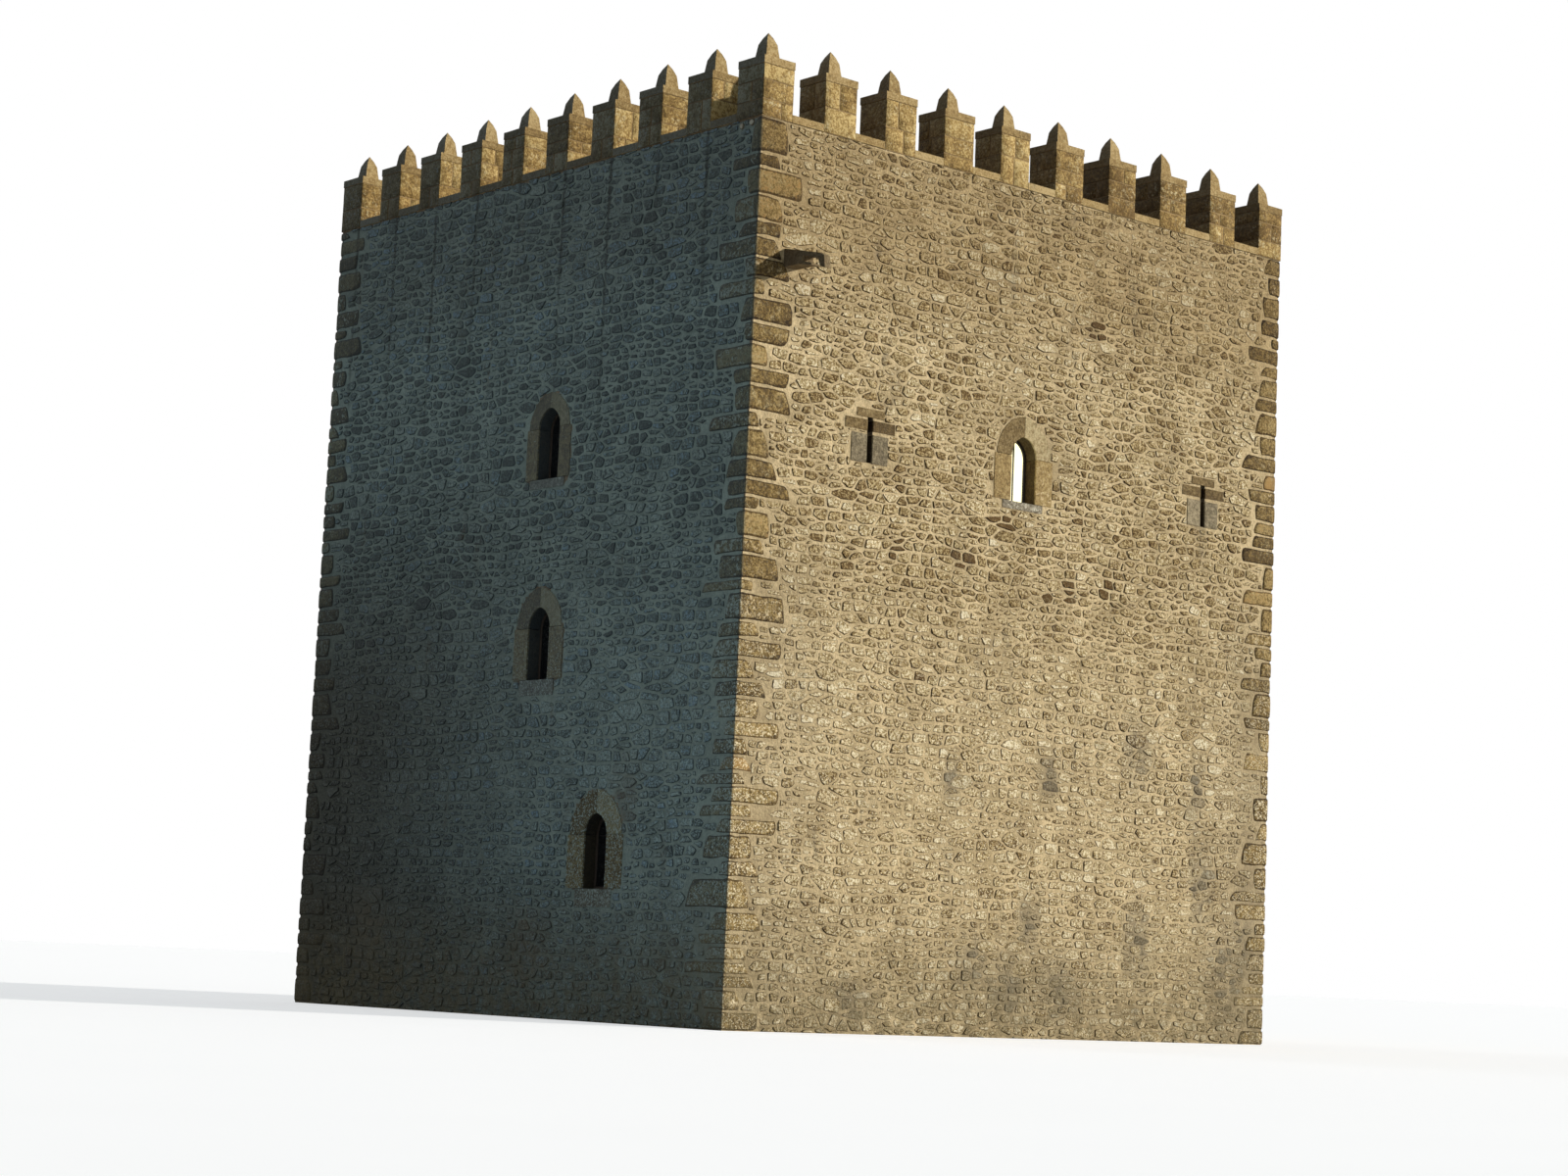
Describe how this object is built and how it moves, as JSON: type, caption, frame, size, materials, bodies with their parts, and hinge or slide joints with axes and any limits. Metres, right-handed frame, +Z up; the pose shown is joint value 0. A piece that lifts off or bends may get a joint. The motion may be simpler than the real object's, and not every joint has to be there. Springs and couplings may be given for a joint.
{
  "type": "castle keep",
  "caption": "Square rubble-stone castle keep with a battlement of merlons under pointed caps, pointed lancet windows, arrow slits and a carved water spout.",
  "frame": {"origin": "plan centre of the tower, at the lowest ground its walls reach", "axes": "+Z up; -Y out of the sunlit front wall with the spout and arrow slits; -X out of the shaded left wall with three lancets"},
  "size_m": [12.6, 12.97, 15.737],
  "materials": {
    "rubble_masonry": "rough",
    "paving": "rough",
    "floor_timber": "satin",
    "spout_stone": "rough",
    "merlon_stone": "rough",
    "coping_stone": "rough",
    "grey_dressed_stone": "rough",
    "ochre_dressed_stone": "rough",
    "jamb_stone": "rough",
    "dark_timber": "satin",
    "window_glass": "gloss",
    "pale_blind": "matte",
    "oak_door": "satin"
  },
  "bodies": {
    "root": {"front_wall": "rubble_masonry", "back_wall": "rubble_masonry", "left_wall": "rubble_masonry", "right_wall": "rubble_masonry", "front_parapet": "rubble_masonry", "back_parapet": "rubble_masonry", "left_parapet": "rubble_masonry", "right_parapet": "rubble_masonry", "ground_floor": "paving", "first_floor": "floor_timber", "second_floor": "floor_timber", "terrace": "paving", "water_spout": "spout_stone", "front_merlons": "merlon_stone", "back_merlons": "merlon_stone", "left_merlons": "merlon_stone", "right_merlons": "merlon_stone", "front_copings": "coping_stone", "back_copings": "coping_stone", "left_copings": "coping_stone", "right_copings": "coping_stone", "front_caps": "coping_stone", "back_caps": "coping_stone", "left_caps": "coping_stone", "right_caps": "coping_stone", "front_crenel_sills": "coping_stone", "back_crenel_sills": "coping_stone", "left_crenel_sills": "coping_stone", "right_crenel_sills": "coping_stone", "lancet_left_arch_stones": "grey_dressed_stone", "lancet_right_arch_stones": "ochre_dressed_stone", "lancet_jambs": "jamb_stone", "lancet_sills": "jamb_stone", "lancet_frames": "dark_timber", "lancet_panes": "window_glass", "lancet_blind": "pale_blind", "slit_side_stones": "jamb_stone", "slit_shoulder_stones": "grey_dressed_stone", "slit_lintels": "grey_dressed_stone", "door_arch": "ochre_dressed_stone", "door_jambs": "jamb_stone", "door_threshold": "jamb_stone", "door_leaf": "oak_door"}
  },
  "joints": []
}
